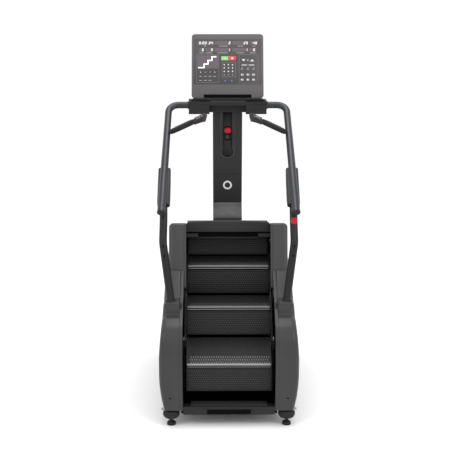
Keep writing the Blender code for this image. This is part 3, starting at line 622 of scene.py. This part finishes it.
def mast_channel():
    """The stop button's channel: a dark floor between two raised rails that meet in a rounded end."""
    half, low, top = 0.044, 1.52, 1.846
    end = half * 0.9
    turns = [-math.pi * k / 16 for k in range(17)]
    points = [(half, top)] + [(half * math.cos(turn), low + end + end * math.sin(turn)) for turn in turns]
    points.append((-half, top))
    path = [at(x, mast_front(z) - 0.001, z) for x, z in points]
    settle(tube("mast_channel_rim", path, 0.0042, resolution=3), SHELL_LIGHT)
    floor = bmesh.new()
    floor.faces.new([floor.verts.new(at(x * 0.96, mast_front(z) - 0.0012, z)) for x, z in points])
    settle(walled("mast_channel_floor", floor, 0.0012, 0), DARK)
    fins = bmesh.new()
    side_face = ((1.575, 0.0015), (1.605, 0.0085), (1.842, 0.0085), (1.842, 0.0012), (1.605, 0.0012), (1.575, 0.0012))
    for x in (-0.034, 0.034):
        add_layers(fins, [[at(x + dx, mast_front(z) - out, z) for z, out in side_face] for dx in (-0.0022, 0.0022)])
    settle(from_bmesh("mast_channel_fins", fins), SHELL)


def mast_badge():
    """A plain ring stands where the real machine has its mark."""
    def on_mast(turn, radius, out):
        height = BADGE_Z + radius * math.sin(turn)
        return at(radius * math.cos(turn), mast_front(height) - 0.0004 - out, height)

    hoop("mast_badge", on_mast, ((0.0195, 0.0), (0.0195, 0.001), (0.031, 0.001), (0.031, 0.0)), 40, MARK)


# ---- tray ----
def tray():
    """A flat middle, a bin at each side, a front lip and a filler under the console."""
    low, high, front, back, wall = 1.84, 1.926, 0.985, 1.16, 0.0095
    boxes = [(-0.131, front, high - 0.0295, 0.131, back, high)]
    for x0, x1 in ((0.1225, 0.262), (-0.262, -0.1225)):
        boxes += [(x0, front, low, x1, front + wall, high), (x0, front, low, x1, back, low + wall),
                  (x0, back - 0.06, low, x1, back, high), (x0, front, low, x0 + wall, back, high),
                  (x1 - wall, front, low, x1, back, high)]
    boxes.append((-0.24, 1.048, high - 0.004, 0.24, 1.0575, high + 0.014))
    blocks("tray_body", boxes, DARK, 0.004, replaced=["console_tray"])
    lip = (-0.262, front - 0.0005, high - 0.022, 0.262, front + 0.012, high)
    blocks("tray_lip", [lip], DARK, 0.004)
    blocks("tray_centre", [(-0.122, 1.06, low + 0.004, 0.122, 1.072, high - 0.03)], DARK, 0.003)


# ---- console ----
CONSOLE_HALF_X, CONSOLE_TOP = 0.245, 0.434
CONSOLE_PLACE = Matrix.Translation(at(0, 1.06, 1.94)) @ Matrix.Rotation(math.radians(-11), 4, "X")
PRINT_PLACE = CONSOLE_PLACE @ Matrix.Diagonal((1, 1, 1.0333, 1))
FACE_Y = 0.0014             # a little inside the display panel's front, in the console's own axes


def console_plate(name, corners, radius, layers, look, replaced):
    """A plate in the console's own axes: its half widths at the top and foot, its heights, and (y, shrink) layers."""
    half_top, half_low, low, high = corners
    rings = []
    for y, shrink in layers:
        points = [(half_low - shrink, low + shrink), (half_top - shrink, high - shrink),
                  (shrink - half_top, high - shrink), (shrink - half_low, low + shrink)]
        outline = rounded(points, [max(0.001, radius - shrink)] * 4, 8)
        rings.append([CONSOLE_PLACE @ Vector((x, y, z)) for x, z in outline])
    settle(layered(name, rings), look, [replaced])


def console_housing():
    """Bezel, display face, back shell, vents, screws and the slot below."""
    half, top = CONSOLE_HALF_X, CONSOLE_TOP
    console_plate("console_bezel_face", (half - 0.003, half, 0.0, top), 0.022,
                  ((0.0138, 0.001), (0.012, 0.0), (0.0056, 0.0), (0.0034, 0.0007), (0.0018, 0.0024), (0.0013, 0.0048)),
                  CONSOLE, "console_bezel")
    console_plate("display_face", (0.23, 0.232, 0.0941, 0.4004), 0.006, ((0.004, 0.0), (0.001, 0.0), (0.0006, 0.0006)),
                  FACE, "display_panel")
    console_plate("console_back_shell", (half - 0.006, half - 0.003, 0.004, top - 0.004), 0.02,
                  ((0.0146, 0.0), (0.036, 0.0), (0.046, 0.004), (0.052, 0.012), (0.0548, 0.026), (0.0558, 0.05)),
                  SHELL, "console_back")
    back = CONSOLE_PLACE.to_3x3() @ Vector((0, 1, 0))
    blocks("console_vents", [(-0.09, 0.0552, 0.27 + 0.01 * row, 0.09, 0.0562, 0.274 + 0.01 * row) for row in range(9)],
           BLACK, matrix=CONSOLE_PLACE,
           drums=[(CONSOLE_PLACE @ Vector((x, 0.0556, z)), back, 0.006, 0.0012, 20)
                  for x in (-0.2, 0.2) for z in (0.05, 0.37)])
    blocks("console_slot", [(-0.161, -0.0004, 0.003, 0.161, 0.0008, 0.0215)], BLACK,
           matrix=CONSOLE_PLACE)
    blocks("console_slot_lip", [(-0.164, -0.006, 0.0215, 0.164, 0.003, 0.026)], DARK, 0.0015,
           matrix=CONSOLE_PLACE)


class Print:
    """Flat marks on the display panel, each a thin raised plate; x and z are in the console's axes."""

    def __init__(self, name, look, depth=0.0008):
        self.name, self.look, self.shape = name, look, bmesh.new()
        self.near = 0.0006 - depth

    def bar(self, x0, z0, x1, z1):
        add_box(self.shape, (x0, self.near, z0), (x1, FACE_Y, z1), PRINT_PLACE)

    def line(self, x0, z0, x1, z1, width):
        ahead = Vector((x1 - x0, 0, z1 - z0))
        turn = math.atan2(ahead.z, ahead.x)
        local = Matrix.Translation(((x0 + x1) / 2, 0, (z0 + z1) / 2)) @ Matrix.Rotation(-turn, 4, "Y")
        add_box(self.shape, (-ahead.length / 2, self.near, -width / 2), (ahead.length / 2, FACE_Y, width / 2),
                PRINT_PLACE @ local)

    def dot(self, x, z, radius, sides=20):
        add_drum(self.shape, PRINT_PLACE @ Vector((x, (self.near + FACE_Y) / 2, z)),
                 PRINT_PLACE.to_3x3() @ Vector((0, -1, 0)), radius, FACE_Y - self.near, sides)

    def frame(self, x0, z0, x1, z1, width):
        self.bar(x0, z0, x1, z0 + width)
        self.bar(x0, z1 - width, x1, z1)
        self.bar(x0, z0 + width, x0 + width, z1 - width)
        self.bar(x1 - width, z0 + width, x1, z1 - width)

    def done(self):
        settle(from_bmesh(self.name, self.shape), self.look)


SEGMENTS = {"0": "abcdef", "1": "bc", "2": "abged", "3": "abgcd", "4": "fgbc", "5": "afgcd", "6": "afgedc", "7": "abc",
            "8": "abcdefg", "9": "abcdfg"}


def digit(print_to, figure, x, z, width, height):
    """One seven-segment figure whose lower left corner is x, z."""
    thick, half, lean = height * 0.135, height / 2, 0.1
    ends = {"a": (0, height, width, height), "g": (0, half, width, half), "d": (0, 0, width, 0),
            "f": (0, half, 0, height), "b": (width, half, width, height), "e": (0, 0, 0, half),
            "c": (width, 0, width, half)}
    for name in SEGMENTS[figure]:
        x0, z0, x1, z1 = ends[name]
        print_to.line(x + x0 + lean * z0, z + z0, x + x1 + lean * z1, z + z1, thick)


def displays():
    """Display windows, their figures and a lit flight of stairs."""
    windows = Print("display_windows", WINDOW, 0.0003)
    for z, row in ((0.3485, ((-0.206, -0.094), (-0.085, 0.025), (0.033, 0.141), (0.15, 0.2045))),
                   (0.3045, ((-0.195, -0.156), (-0.15, -0.094), (-0.087, 0.021), (0.032, 0.14), (0.148, 0.1935)))):
        for x0, x1 in row:
            windows.bar(x0, z, x1, z + 0.024)
    windows.bar(-0.205, 0.1945, -0.062, 0.281)
    windows.done()

    digits = Print("display_digits", DIGIT, 0.001)
    for z, figures, row in (
            (0.3535, "0002422040", (-0.1915, -0.169, -0.153, -0.126, -0.11, 0.009, 0.11, 0.126, 0.172, 0.188)),
            (0.3095, "63116", (-0.172, -0.112, 0.005, 0.124, 0.176))):
        for figure, x in zip(figures, row):
            digit(digits, figure, x, z, 0.0085, 0.0145)
    digits.dot(-0.176, 0.3575, 0.0011)
    digits.dot(-0.1755, 0.3635, 0.0011)
    stair = [(-0.196, 0.2), (-0.159, 0.2), (-0.159, 0.223), (-0.133, 0.223), (-0.133, 0.247), (-0.106, 0.247),
             (-0.106, 0.271), (-0.08, 0.271)]
    half = 0.0035
    for (x0, z0), (x1, z1) in zip(stair, stair[1:]):
        cut = half if z0 == z1 else -half
        digits.bar(x0 - half, z0 - cut, x1 + half, z1 + cut)
    digits.done()


def key_marks():
    """Printed keys, arrows and captions, as plain dots and bars."""
    white = Print("key_prints", PRINT)
    dim = Print("key_prints_dim", PRINT_DIM, 0.0006)
    for row, z in enumerate((0.219, 0.198, 0.175, 0.153)):
        for x in (-0.0225, 0.0056, 0.0337):
            if row < 3:
                white.dot(x, z, 0.0046)
            else:
                dim.dot(x, z, 0.0042)
    dim.frame(-0.0375, 0.139, 0.055, 0.236, 0.0012)
    for side in (-1, 1):
        x, z = 0.1375 + side * 0.029, 0.248
        for k in range(5):
            width = 0.0125 * (1 - k / 5)
            low = z + side * (-0.006 + 0.0026 * k)
            white.bar(x - width, low - 0.0013, x + width, low + 0.0013)
    white.dot(0.1375, 0.248, 0.0042)
    for x in (0.1135, 0.162):
        white.bar(x - 0.0185, 0.2145, x + 0.0185, 0.2195)
    for row, z in enumerate((0.193, 0.156, 0.123)):
        for column, x in enumerate((0.099, 0.138, 0.176)):
            if row == 0:
                dim.bar(x - 0.01, z - 0.0065, x + 0.01, z - 0.0045)
                white.line(x - 0.004, z - 0.002, x + 0.002 + 0.002 * column, z + 0.008, 0.0024)
            else:
                white.dot(x - 0.004, z + 0.001, 0.0048, 6)
                white.bar(x - 0.009, z - 0.007, x + 0.0095, z - 0.0035)
                white.dot(x + 0.0055, z + 0.0005, 0.0036, 8)
    for row, z in enumerate((0.171, 0.143, 0.1165)):
        for column, x in enumerate((-0.183, -0.15, -0.119, -0.087)):
            mark = white if row == 0 and column in (0, 3) else dim
            if row == 0:
                mark.dot(x, z, 0.0042, 4)
            elif column < 3 or row == 1:
                mark.bar(x - 0.01, z - 0.0022, x + 0.009, z + 0.0022)
    for z, row in ((0.3405, ((-0.16, -0.144), (-0.058, 0.0), (0.068, 0.106), (0.166, 0.188))),
                   (0.2965, ((-0.191, -0.16), (-0.148, -0.104), (-0.068, 0.0), (0.06, 0.112), (0.15, 0.19)))):
        for x0, x1 in row:
            dim.bar(x0, z - 0.0022, x1, z + 0.0022)
    for x0, z0, x1, z1 in ((-0.211, 0.102, -0.059, 0.286), (0.079, 0.098, 0.205, 0.286)):
        dim.frame(x0, z0, x1, z1, 0.0009)
    white.done()
    dim.done()
    blue = Print("link_lamps", BLUE, 0.001)
    for x in (-0.017, 0.0285):
        blue.dot(x, 0.115, 0.0036)
        blue.bar(x - 0.001, 0.1085, x + 0.001, 0.115)
    blue.done()


def key_caps():
    """A white mark on each start or stop key, riding on it."""
    x = -0.019
    bars = [(x - 0.008, -0.0019, z, x + 0.007, -0.001, z + 0.0022) for z in (0.256, 0.2598, 0.2636)]
    blocks("start_key_mark", bars, PRINT, matrix=PRINT_PLACE, body="start_key_body")
    front = PRINT_PLACE.to_3x3() @ Vector((0, -1, 0))
    stop = (PRINT_PLACE @ Vector((0.031, -0.0014, 0.261)), front, 0.0078, 0.001, 8)
    blocks("stop_key_mark", (), PRINT, body="stop_key_body", drums=[stop])


# ---- handrails ----
RAIL_R, RAIL_BEND = 0.023, 0.085
POST_R, POST_BEND = 0.025, 0.14
RAIL_START = (0.2626, 1.01, 1.899)
RAIL_CORNER = Vector((0.396, 1.01, 1.899))
RAIL_END = Vector((0.42, 0.3, 1.307))
POST_PATH = [(0.3625, 0.24, 0.62), (0.3665, 0.2415, 0.77), (0.412, 0.3, 1.117), (0.409, 0.36, 1.25),
             (0.4125, 0.478, 1.425)]
GRIP_FOOT = Vector((0.3997, 0.811, 1.733))
GRIP_TIP = Vector((0.1638, 0.6902, 1.8556))
GRIP_RIBS = 30
POD_OUT = 0.262
POD_ROLL = math.radians(35)


def flip(point, side):
    return at(side * point[0], point[1], point[2])


def smooth_path(path, count):
    """The path read at even steps."""
    lengths = [0.0]
    for a, b in zip(path, path[1:]):
        lengths.append(lengths[-1] + (b - a).length)
    made, i = [], 0
    for k in range(count):
        goal = lengths[-1] * k / (count - 1)
        while i < len(path) - 2 and lengths[i + 1] < goal:
            i += 1
        span = max(1e-9, lengths[i + 1] - lengths[i])
        made.append(path[i].lerp(path[i + 1], (goal - lengths[i]) / span))
    return made


def handrail(side, word):
    """The bent rail, its end cap and its flange at the tray."""
    count = 60
    path = smooth_path(bent([flip(p, side) for p in (RAIL_START, RAIL_CORNER, RAIL_END)], RAIL_BEND), count)
    radii = [RAIL_R * (1.0 + 0.15 * max(0.0, (k / (count - 1) - 0.28) / 0.72)) for k in range(count)]
    radii[-1] = RAIL_R + 0.0042
    settle(tube("handrail_tube_" + word, path, RAIL_R, radii), RAIL, ["handrail_" + word])
    ahead = (path[-1] - path[-2]).normalized()
    blocks("handrail_cap_" + word, (), RUBBER, drums=[
        (path[-1] + ahead * 0.0006, ahead, RAIL_R + 0.003, 0.003, 40, RAIL_R + 0.001),
        (path[-1] - ahead * 0.006, ahead, RAIL_R + 0.0048, 0.0016, 40)])
    blocks("handrail_flange_" + word, (), SHELL_DARK, 0.0015, drums=[
        (path[0] + Vector((side * 0.004, 0, 0)), (1, 0, 0), RAIL_R + 0.0035, 0.007, 40)])


def rail_post(side, word):
    """The post up to the rail, its grommet and screws."""
    path = smooth_path(bent([flip(p, side) for p in POST_PATH], POST_BEND), 44)
    settle(tube("rail_post_tube_" + word, path, POST_R), STEEL, ["rail_post_" + word])
    blocks("post_grommet_" + word, (), RUBBER, 0.0012, drums=[
        (at(side * 0.3667, 0.2435, 0.757), (0, 0, 1), 0.034, 0.006, 40, 0.029)])
    (x0, y0, z0), (x1, y1, z1) = POST_PATH[1:3]
    screws = []
    for z in (1.04, 1.1):
        share = (z - z0) / (z1 - z0)
        x, y = x0 + share * (x1 - x0), y0 + share * (y1 - y0)
        screws.append((at(side * x, y - 0.0247, z), (0, -1, 0.1), 0.0062, 0.0018, 20))
    blocks("post_screws_" + word, (), BLACK, drums=screws)


def shroud(side, word):
    """The moulded wing behind the rail, wider than the tube, with rounded edges."""
    rail = RAIL_END - RAIL_CORNER
    along = -Vector((rail.y, rail.z)).normalized()
    below = Vector((along.y, -along.x))
    end = Vector((RAIL_END.y, RAIL_END.z))
    outline = [tuple(end + along * distance + below * offset) for distance, offset in
               ((0.075, 0.004), (0.085, 0.058), (0.16, 0.092), (0.3, 0.074), (0.375, 0.03), (0.375, 0.004))]
    low, high, edge = 0.37, 0.45, 0.012
    turned = quarter(edge, 5)
    stations = [(low + edge - rise, distance) for rise, distance in reversed(turned)]
    stations += [(high - edge + rise, distance) for rise, distance in turned]
    layers = [[at(side * x, y, z) for y, z in section(outline, [0.004, 0.024, 0.06, 0.06, 0.018, 0.004],
                                                      distance + 0.0004)] for x, distance in stations]
    settle(layered("rail_wing_" + word, layers), SHELL_DARK, ["rail_shroud_" + word])


def hand_grip(side, word):
    """The ribbed grip, its contact strip, and its pod's trim, skirt, lamp and marks."""
    foot, tip = flip(GRIP_FOOT, side), flip(GRIP_TIP, side)
    ahead = (tip - foot).normalized()
    stations = [(0.016, 0.0118), (0.03, 0.0118), (0.0305, 0.0165), (0.04, 0.0165), (0.0405, 0.013), (0.046, 0.013),
                (0.0465, 0.018)]
    for k in range(GRIP_RIBS + 1):
        swell = 0.0006 * math.sin(math.pi * k / GRIP_RIBS)
        stations.append((0.05 + 0.154 * k / GRIP_RIBS, 0.018 + swell + (0.0004 if k % 2 else 0.0)))
    stations += [(0.209, 0.0175), (0.2205, 0.0158)]
    settle(tube("hand_grip_sleeve_" + word, [foot + ahead * s for s, _ in stations], 0.019, [r for _, r in stations]),
           RUBBER, ["hand_grip_" + word])
    facing = ahead.to_track_quat("X", "Z").to_matrix().to_4x4() @ Matrix.Rotation(-side * POD_ROLL, 4, "X")
    place = Matrix.Translation(foot + ahead * POD_OUT) @ facing
    blocks("grip_contact_" + word, [(-0.19, -0.0085, 0.014, -0.07, 0.0085, 0.0188)], SHELL, 0.0035,
           matrix=place)
    trim = [(-0.0405, -0.0262, -0.0085, 0.0402, 0.0262, -0.005), (0.033, -0.02, 0.01, 0.0396, 0.02, 0.0122)]
    blocks("pod_trim_" + word, trim, SHELL, 0.0008, matrix=place)
    skirt = []
    for x, half, low in ((-0.0385, 0.024, -0.012), (-0.037, 0.0262, -0.0138), (0.01, 0.0292, -0.0165),
                         (0.044, 0.0345, -0.0205), (0.0462, 0.033, -0.019)):
        corners = [(half, low), (half, 0.0042), (-half, 0.0042), (-half, low)]
        outline = rounded(corners, [0.006, 0.002, 0.002, 0.006], 5)
        skirt.append([place @ Vector((x, y, z)) for y, z in outline])
    settle(layered("pod_skirt_" + word, skirt), SHELL_DARK)
    look, slot_name = (RED_LAMP, "stop_red") if side < 0 else (PRINT_DIM, "console_grey")
    lamp = (place @ Vector((0.0275, 0.004, 0.0112)), place.to_3x3() @ Vector((0, 0, 1)), 0.0042, 0.0014, 20)
    blocks("pod_lamp_" + word, (), look, drums=[lamp])
    marks = [(x - long, -wide, 0.0132, x + long, wide, 0.014)
             for x, long, wide in ((-0.0105, 0.0036, 0.001), (0.0105, 0.0036, 0.001), (0.0105, 0.001, 0.0036))]
    blocks("rocker_marks_" + word, marks, PRINT, matrix=place, body="rocker_" + word)


# ---- stop buttons, rear and chains ----
ESTOP_Z, ESTOP_NECK_Y = 1.719, 1.0728
RAIL_STOP, RAIL_STOP_LEAN = (0.4095, 0.3262, 1.2482), math.radians(66)
CHAIN_X, CHAIN_LOW, CHAIN_PINS = 0.2695, Vector((0.4, 0.447)), 56       # pins to each half of the loop
def stop_details():
    """A collar and a symbol ring on each stop button."""
    neck = ESTOP_NECK_Y
    blocks("estop_collar", [(-0.012, neck, 1.66, 0.012, neck + 0.0017, 1.688)], SHELL_DARK, 0.0006,
           drums=[(at(0, neck, ESTOP_Z), (0, -1, 0), 0.0175, 0.0026, 32, 0.015)])
    rail_axis = Vector((0, -math.sin(RAIL_STOP_LEAN), math.cos(RAIL_STOP_LEAN)))
    for name, body, centre, axis, size in (
            ("estop_mark", "estop_button_body", at(0, neck - 0.0254, ESTOP_Z), Vector((0, -1, 0)), 0.008),
            ("rail_stop_mark", "rail_stop_button_body", at(*RAIL_STOP) + rail_axis * 0.0136, rail_axis,
             0.0125)):
        facing = Matrix.Translation(centre) @ axis.to_track_quat("Z", "Y").to_matrix().to_4x4()

        def on_button(turn, radius, out):
            return facing @ Vector((radius * math.cos(turn), radius * math.sin(turn), out))

        inner = size - 0.0018
        hoop(name, on_button, ((size, 0.0), (size, 0.0009), (inner, 0.0009), (inner, 0.0)), 32, KEY_MARK,
             body)


def rear_details():
    """Louvres and screws on the rear cover, and seals beside it."""
    louvres = [(-0.15, 1.4438, 0.3 + 0.016 * row, 0.15, 1.4456, 0.306 + 0.016 * row) for row in range(10)]
    screws = [(at(x, 1.445, z), (0, 1, 0), 0.006, 0.0016, 20) for x in (-0.265, 0.265) for z in (0.15, 0.48, 0.82)]
    blocks("rear_louvres", louvres, BLACK, 0.0006, 2, drums=screws)
    blocks("rear_seals", pair(0.282, 0.024, 1.395, 0.108, 1.405, 0.91), BLACK)


def chain_pins():
    """Pin heads along both chains, standing just proud of the plain bands."""
    radius, straight = PITCH / math.pi, 2.5 * PITCH
    high, normal = CHAIN_LOW + SLOPE * straight, Vector((-SLOPE.y, SLOPE.x))
    points = []
    for near, far, sign in ((CHAIN_LOW, high, 1), (high, CHAIN_LOW, -1)):
        for k in range(CHAIN_PINS):
            s = (straight + math.pi * radius) * k / CHAIN_PINS
            if s < straight:
                points.append(near + sign * (normal * radius + SLOPE * s))
            else:
                turn = (s - straight) / radius
                points.append(far + sign * radius * (normal * math.cos(turn) + SLOPE * math.sin(turn)))
    for side, word in SIDES:
        blocks("chain_pins_" + word, (), STEEL, drums=[
            (at(side * CHAIN_X, *point), (1, 0, 0), 0.0048, 0.0016, 10) for point in points])


# ---- stage ----
FLOOR_SIZE = 300            # wide enough to keep its edge out of sight
WORLD_STRENGTH = 1.06
LIGHTS = (                  # name, place, aim, size, power
    ("key_left", (-3.2, -3.6, 4.2), (0, 0, 1.1), (1.6, 2.4), 45),
    ("key_right", (3.2, -3.6, 4.2), (0, 0, 1.1), (1.6, 2.4), 70),
    ("top", (0, 0.3, 5.0), (0, 0, 0), (2.5, 2.5), 90))
CAMERA_AT = at(-0.071, -6.198, 2.696)
CAMERA_DOWN, CAMERA_TURN = 12.72, -0.42
LENS, SENSOR = 85.416, 36.0


def put(name, data):
    obj = bpy.data.objects.new(name, data)
    bpy.context.scene.collection.objects.link(obj)
    return obj


def stage():
    """A pale floor, an even sky and three soft lamps."""
    mesh = bpy.data.meshes.new("floor")
    shape = bmesh.new()
    bmesh.ops.create_grid(shape, x_segments=1, y_segments=1, size=FLOOR_SIZE)
    shape.to_mesh(mesh)
    shape.free()
    floor = put("floor", mesh)
    look, tree, shader = blank("pale_floor")
    feed(tree, shader, Base_Color=(0.96, 0.96, 0.96, 1), Roughness=0.65)
    floor.data.materials.append(look)

    world = bpy.data.worlds.new("studio")
    bpy.context.scene.world = world
    world.use_nodes = True
    feed(world.node_tree, world.node_tree.nodes["Background"], Color=(1, 1, 1, 1), Strength=WORLD_STRENGTH)

    for name, place, aim, size, power in LIGHTS:
        lamp = bpy.data.lights.new(name, "AREA")
        lamp.shape = "RECTANGLE"
        lamp.size, lamp.size_y = size
        lamp.energy = power
        obj = put(name, lamp)
        obj.location = place
        obj.rotation_euler = (Vector(aim) - Vector(place)).to_track_quat("-Z", "Y").to_euler()


def camera():
    """Seen from the user's side, a little from above."""
    view = bpy.data.cameras.new("camera")
    view.lens, view.sensor_width = LENS, SENSOR
    obj = put("camera", view)
    obj.location = CAMERA_AT
    obj.rotation_euler = (math.radians(90 - CAMERA_DOWN), 0, math.radians(CAMERA_TURN))
    bpy.context.scene.camera = obj


bpy.context.scene.view_settings.view_transform = "Standard"
for build in (camera, keep_nodes, base_details, feet, side_covers, steps, hood, mast_cover, mast_channel, mast_badge,
              tray, console_housing, displays, key_marks, key_caps):
    build()
for side, word in SIDES:
    for build in (handrail, rail_post, shroud, hand_grip):
        build(side, word)
for build in (stop_details, rear_details, chain_pins, stage):
    build()
